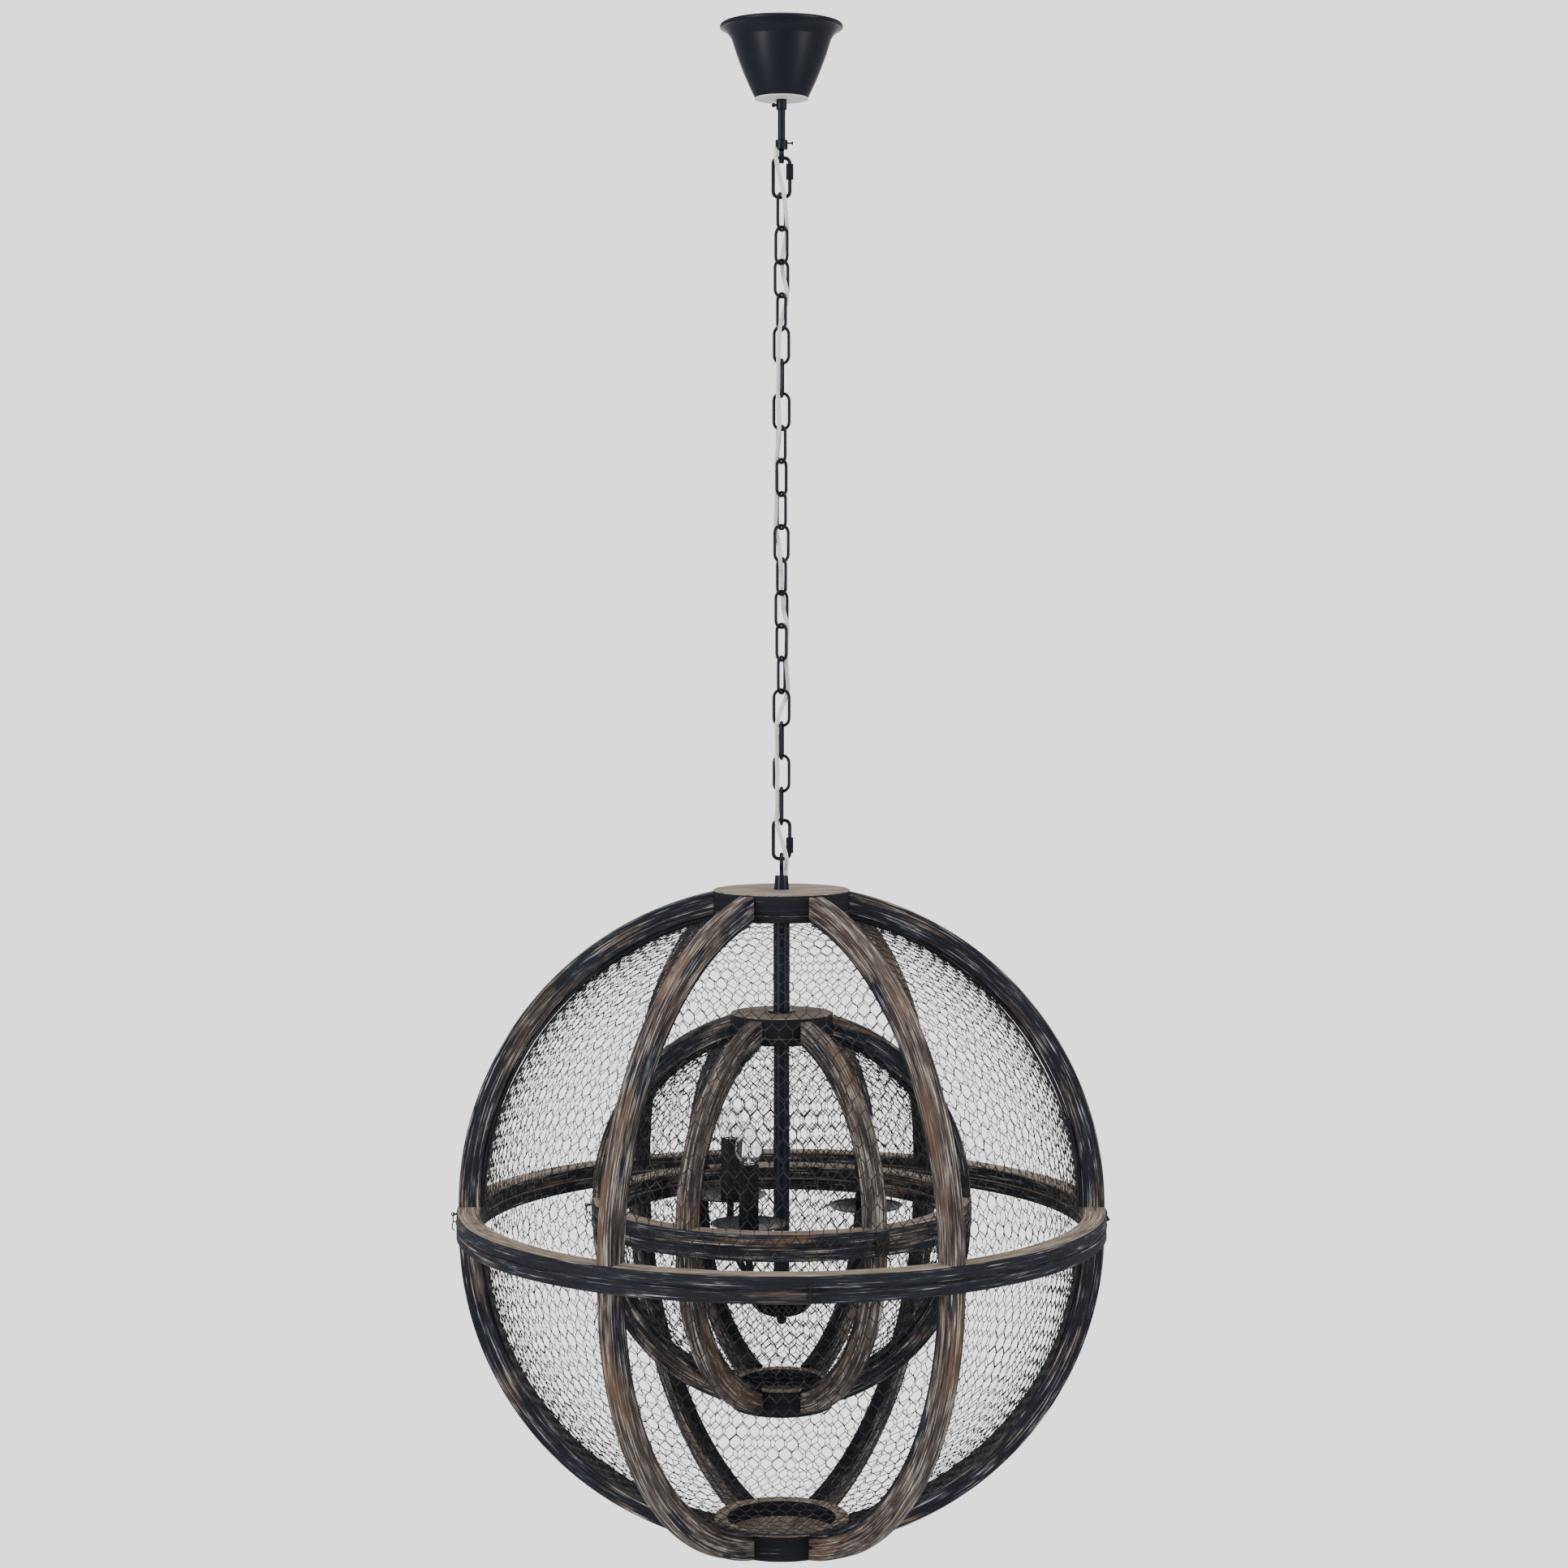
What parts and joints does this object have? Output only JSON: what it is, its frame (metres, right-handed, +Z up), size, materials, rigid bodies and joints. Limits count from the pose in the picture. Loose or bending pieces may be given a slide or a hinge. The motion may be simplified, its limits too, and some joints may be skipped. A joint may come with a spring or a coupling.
{
  "type": "orb chandelier",
  "caption": "Hanging orb chandelier: two nested globes of bent wooden ribs lined with hexagonal wire netting, candle lights inside, on a chain with a ceiling canopy.",
  "frame": {"origin": "centre of the crossbar's screw slots in the ceiling plane, on the stem's axis", "axes": "+Z up towards the ceiling, -Y the side that faces the viewer, +X to the viewer's right"},
  "size_m": [0.6429, 0.638, 1.4725],
  "materials": {
    "dark_metal": "satin blue-black lacquer",
    "plated_steel": "zinc-plated",
    "pale_disc": "off-white matte",
    "clear_cord": "clear sheath over tinned strands",
    "aged_wood": "brushed, dark-stained and limed",
    "net_wire": "dark patina",
    "aged_hardware": "aged dark bronze",
    "candle_plastic": "matte charcoal",
    "socket_plastic": "moulded black",
    "bulb_glass": "clear glass"
  },
  "bodies": {
    "ceiling_mount": {"ceiling_crossbar": "plated_steel", "stem_locknuts": "plated_steel", "stem_pipe": "dark_metal", "stem_end_collar": "dark_metal", "hanging_loop": "dark_metal", "supply_cord": "clear_cord"},
    "canopy_group": {"canopy": "dark_metal", "canopy_end_disc": "pale_disc", "canopy_collar": "dark_metal"},
    "canopy_screw": {"canopy_thumbscrew": "dark_metal"},
    "stem_screw": {"stem_end_thumbscrew": "dark_metal"},
    "upper_quick": {"upper_quick_link": "dark_metal"},
    "upper_sleeve": {"upper_link_sleeve": "dark_metal"},
    "chain_run_01": {"chain_01": "dark_metal"},
    "chain_run_02": {"chain_02": "dark_metal"},
    "chain_run_03": {"chain_03": "dark_metal"},
    "chain_run_04": {"chain_04": "dark_metal"},
    "chain_run_05": {"chain_05": "dark_metal"},
    "chain_run_06": {"chain_06": "dark_metal"},
    "chain_run_07": {"chain_07": "dark_metal"},
    "chain_run_08": {"chain_08": "dark_metal"},
    "lower_quick": {"lower_quick_link": "dark_metal"},
    "lower_sleeve": {"lower_link_sleeve": "dark_metal"},
    "orb": {"orb_eye": "dark_metal", "eye_cone": "dark_metal", "outer_top_hub": "aged_wood", "outer_upper_ribs": "aged_wood", "outer_upper_ring": "aged_wood", "outer_upper_net": "net_wire", "down_rod": "dark_metal", "inner_top_hub": "aged_wood", "inner_upper_ribs": "aged_wood", "inner_upper_ring": "aged_wood", "inner_upper_net": "net_wire", "upper_hinge_leaves": "aged_hardware", "hook_pivot_eyes": "aged_hardware", "candle_stem": "dark_metal", "candle_hub": "dark_metal", "fluted_bowl": "dark_metal", "ball_finial": "dark_metal", "candle_arms": "dark_metal", "drip_pans": "dark_metal", "candle_sleeves": "candle_plastic", "lamp_sockets": "socket_plastic", "candle_bulbs": "bulb_glass"},
    "outer_lower_half": {"outer_lower_ring": "aged_wood", "outer_lower_ribs": "aged_wood", "outer_lower_net": "net_wire", "outer_bottom_hub": "aged_wood", "outer_lower_hinge_leaf": "aged_hardware", "outer_hook_catch_eyes": "aged_hardware"},
    "inner_lower_half": {"inner_lower_ring": "aged_wood", "inner_lower_ribs": "aged_wood", "inner_lower_net": "net_wire", "inner_bottom_hub": "aged_wood", "inner_lower_hinge_leaf": "aged_hardware", "inner_hook_catch_eye": "aged_hardware"},
    "outer_side_latch": {"outer_side_hook": "aged_hardware"},
    "outer_front_latch": {"outer_front_hook": "aged_hardware"},
    "inner_side_latch": {"inner_side_hook": "aged_hardware"}
  },
  "joints": [
    {"name": "canopy_slide", "type": "slide", "parent": "ceiling_mount", "child": "canopy_group", "axis": [0, 0, -1], "range_m": [0, 0.028]},
    {"name": "canopy_screw_turn", "type": "hinge", "parent": "canopy_group", "child": "canopy_screw", "pos_m": [-0.0051, 0, -0.0765], "axis": [-1, 0, 0], "range_deg": [-180, 0]},
    {"name": "stem_screw_turn", "type": "hinge", "parent": "ceiling_mount", "child": "stem_screw", "pos_m": [0.00595, 0, -0.1124], "axis": [1, 0, 0], "range_deg": [-180, 0]},
    {"name": "upper_link_swing", "type": "hinge", "parent": "ceiling_mount", "child": "upper_quick", "pos_m": [0, 0, -0.1265], "axis": [1, 0, 0], "range_deg": [-30, 30], "deforming": ["supply_cord"]},
    {"name": "upper_sleeve_slide", "type": "slide", "parent": "upper_quick", "child": "upper_sleeve", "axis": [0, 0, -1], "range_m": [0, 0.0109]},
    {"name": "chain_swing_01", "type": "hinge", "parent": "upper_quick", "child": "chain_run_01", "pos_m": [0, 0, -0.16025], "axis": [-0.4848, -0.8746, 0], "range_deg": [-30, 30]},
    {"name": "chain_swing_02", "type": "hinge", "parent": "chain_run_01", "child": "chain_run_02", "pos_m": [0, 0, -0.25535], "axis": [-0.5299, 0.848, 0], "range_deg": [-30, 30]},
    {"name": "chain_swing_03", "type": "hinge", "parent": "chain_run_02", "child": "chain_run_03", "pos_m": [0, 0, -0.31875], "axis": [-0.1736, 0.9848, 0], "range_deg": [-30, 30]},
    {"name": "chain_swing_04", "type": "hinge", "parent": "chain_run_03", "child": "chain_run_04", "pos_m": [0, 0, -0.38215], "axis": [0.4848, -0.8746, 0], "range_deg": [-30, 30]},
    {"name": "chain_swing_05", "type": "hinge", "parent": "chain_run_04", "child": "chain_run_05", "pos_m": [0, 0, -0.47725], "axis": [-0.8829, -0.4695, 0], "range_deg": [-30, 30]},
    {"name": "chain_swing_06", "type": "hinge", "parent": "chain_run_05", "child": "chain_run_06", "pos_m": [0, 0, -0.54065], "axis": [0.7431, 0.6691, 0], "range_deg": [-30, 30]},
    {"name": "chain_swing_07", "type": "hinge", "parent": "chain_run_06", "child": "chain_run_07", "pos_m": [0, 0, -0.60405], "axis": [-0.4226, -0.9063, 0], "range_deg": [-30, 30]},
    {"name": "chain_swing_08", "type": "hinge", "parent": "chain_run_07", "child": "chain_run_08", "pos_m": [0, 0, -0.70255], "axis": [0.1392, 0.9903, 0], "range_deg": [-30, 30]},
    {"name": "lower_link_swing", "type": "hinge", "parent": "chain_run_08", "child": "lower_quick", "pos_m": [0, 0, -0.76595], "axis": [-0.0872, -0.9962, 0], "range_deg": [-30, 30]},
    {"name": "orb_swing", "type": "hinge", "parent": "lower_quick", "child": "orb", "pos_m": [0, 0, -0.7997], "axis": [1, 0, 0], "range_deg": [-30, 30]},
    {"name": "lower_sleeve_slide", "type": "slide", "parent": "lower_quick", "child": "lower_sleeve", "axis": [0, 0, 1], "range_m": [0, 0.0109]},
    {"name": "outer_half_open", "type": "hinge", "parent": "orb", "child": "outer_lower_half", "pos_m": [0.31855, 0, -1.15195], "axis": [0, -1, 0], "range_deg": [0, 90]},
    {"name": "inner_half_open", "type": "hinge", "parent": "orb", "child": "inner_lower_half", "pos_m": [0.09402, -0.16286, -1.14285], "axis": [-0.866, -0.5, 0], "range_deg": [0, 25]},
    {"name": "outer_side_latch_lift", "type": "hinge", "parent": "orb", "child": "outer_side_latch", "pos_m": [-0.3209, 0, -1.14795], "axis": [0, 1, 0], "range_deg": [0, 80]},
    {"name": "outer_front_latch_lift", "type": "hinge", "parent": "orb", "child": "outer_front_latch", "pos_m": [0.02518, -0.31991, -1.14795], "axis": [-0.9969, -0.0785, 0], "range_deg": [0, 80]},
    {"name": "inner_side_latch_lift", "type": "hinge", "parent": "orb", "child": "inner_side_latch", "pos_m": [-0.1904, 0, -1.13885], "axis": [0, 1, 0], "range_deg": [0, 80]}
  ]
}
